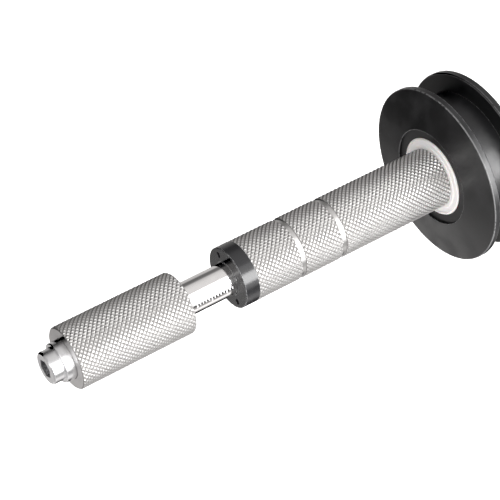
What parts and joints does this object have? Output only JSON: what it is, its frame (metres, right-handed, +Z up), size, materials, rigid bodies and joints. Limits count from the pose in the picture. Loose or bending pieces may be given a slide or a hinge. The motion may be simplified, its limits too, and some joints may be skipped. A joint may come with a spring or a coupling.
{
  "type": "bicycle dummy hub",
  "caption": "Telescopic spring-loaded dummy hub that carries a bicycle chain between the rear dropouts: knurled grips, polished rod, black end cap and a flanged chain roller.",
  "frame": {"origin": "on the axle line, midway between the two dropout contact faces", "axes": "+X along the axle to the drive side, where the roller is; +Z up; +Y completes a right-handed frame"},
  "size_m": [0.161, 0.056, 0.056],
  "materials": {
    "silver_aluminium": "diamond knurled, bright silver",
    "plain_aluminium": "as turned",
    "black_aluminium": "satin black anodised",
    "polished_rod": "mirror polished",
    "turned_steel": "fine turned",
    "spring_steel": "bright drawn wire",
    "black_plastic": "satin black",
    "white_plastic": "white with fine turning lines",
    "guide_plastic": "natural bearing plastic",
    "black_rubber": "matt black"
  },
  "bodies": {
    "barrel_assembly": {"barrel": "silver_aluminium", "end_cap": "black_aluminium", "cap_bush": "guide_plastic", "wiper_ring": "black_rubber", "spring": "spring_steel", "spring_seat": "guide_plastic", "stub_axle": "turned_steel", "right_tip": "turned_steel"},
    "spring_follower": {"thrust_washer": "guide_plastic"},
    "grip_assembly": {"grip_sleeve": "silver_aluminium", "left_tip": "turned_steel", "tip_lock_washer": "turned_steel", "slide_rod": "polished_rod", "stop_bumper": "black_rubber", "piston": "plain_aluminium", "wear_ring": "guide_plastic", "piston_screw": "turned_steel"},
    "roller": {"inner_flange": "black_plastic", "chain_drum": "black_plastic", "outer_flange": "black_plastic", "flange_screws": "turned_steel", "inner_bush": "white_plastic", "outer_bush": "white_plastic"}
  },
  "joints": [
    {"name": "rod_slide", "type": "slide", "parent": "barrel_assembly", "child": "spring_follower", "axis": [1, 0, 0], "range_m": [-0.0035, 0.0165], "stiffness_N_per_m": 1480, "springref_m": -0.02, "deforming": ["spring"]},
    {"name": "grip_spin", "type": "hinge", "parent": "spring_follower", "child": "grip_assembly", "pos_m": [0, 0, 0], "axis": [1, 0, 0], "continuous": true},
    {"name": "roller_spin", "type": "hinge", "parent": "barrel_assembly", "child": "roller", "pos_m": [0.063, 0, 0], "axis": [1, 0, 0], "continuous": true}
  ]
}
